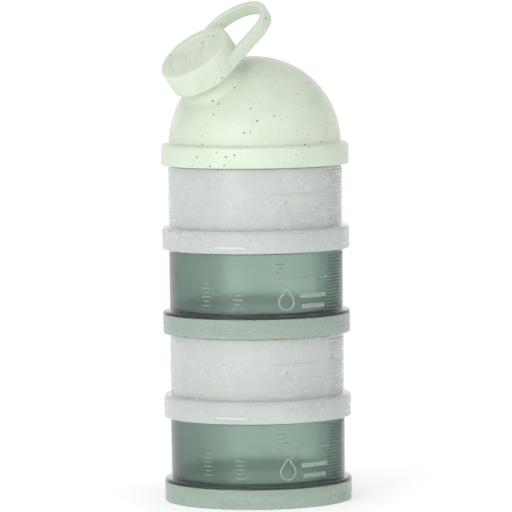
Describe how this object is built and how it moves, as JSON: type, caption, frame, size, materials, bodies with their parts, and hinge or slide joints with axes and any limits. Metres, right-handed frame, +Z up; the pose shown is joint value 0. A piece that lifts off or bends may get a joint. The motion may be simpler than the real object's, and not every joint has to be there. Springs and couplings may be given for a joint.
{
  "type": "formula dispenser",
  "caption": "Stack of twist-on cups that each hold a dose of milk powder, under a domed lid with a slanted pouring spout and a looped cap.",
  "frame": {"origin": "centre of the foot of the lowest cup", "axes": "+Z up along the stack, the spout leans towards -Y and the cap's loop points back over the dome"},
  "size_m": [0.078, 0.0829, 0.2076],
  "materials": {
    "frosted_green": "frosted translucent moulded polypropylene",
    "frosted_white": "frosted translucent moulded polypropylene",
    "speckled_mint": "opaque moulded plastic with dark flecks"
  },
  "bodies": {
    "base_cup": {"base_cup": "frosted_green"},
    "second_cup": {"second_cup": "frosted_white"},
    "third_cup": {"third_cup": "frosted_green"},
    "top_cup": {"top_cup": "frosted_white"},
    "dome_lid": {"dome_lid": "speckled_mint"},
    "spout_cap": {"spout_cap": "speckled_mint"}
  },
  "joints": [
    {"name": "second_cup_lift", "type": "slide", "parent": "base_cup", "child": "second_cup", "axis": [0, 0, 1], "range_m": [0, 0.05]},
    {"name": "third_cup_lift", "type": "slide", "parent": "second_cup", "child": "third_cup", "axis": [0, 0, 1], "range_m": [0, 0.05]},
    {"name": "top_cup_lift", "type": "slide", "parent": "third_cup", "child": "top_cup", "axis": [0, 0, 1], "range_m": [0, 0.05]},
    {"name": "lid_lift", "type": "slide", "parent": "top_cup", "child": "dome_lid", "axis": [0, 0, 1], "range_m": [0, 0.05]},
    {"name": "cap_pull", "type": "slide", "parent": "dome_lid", "child": "spout_cap", "axis": [0, -0.6428, 0.766], "range_m": [0, 0.04]}
  ]
}
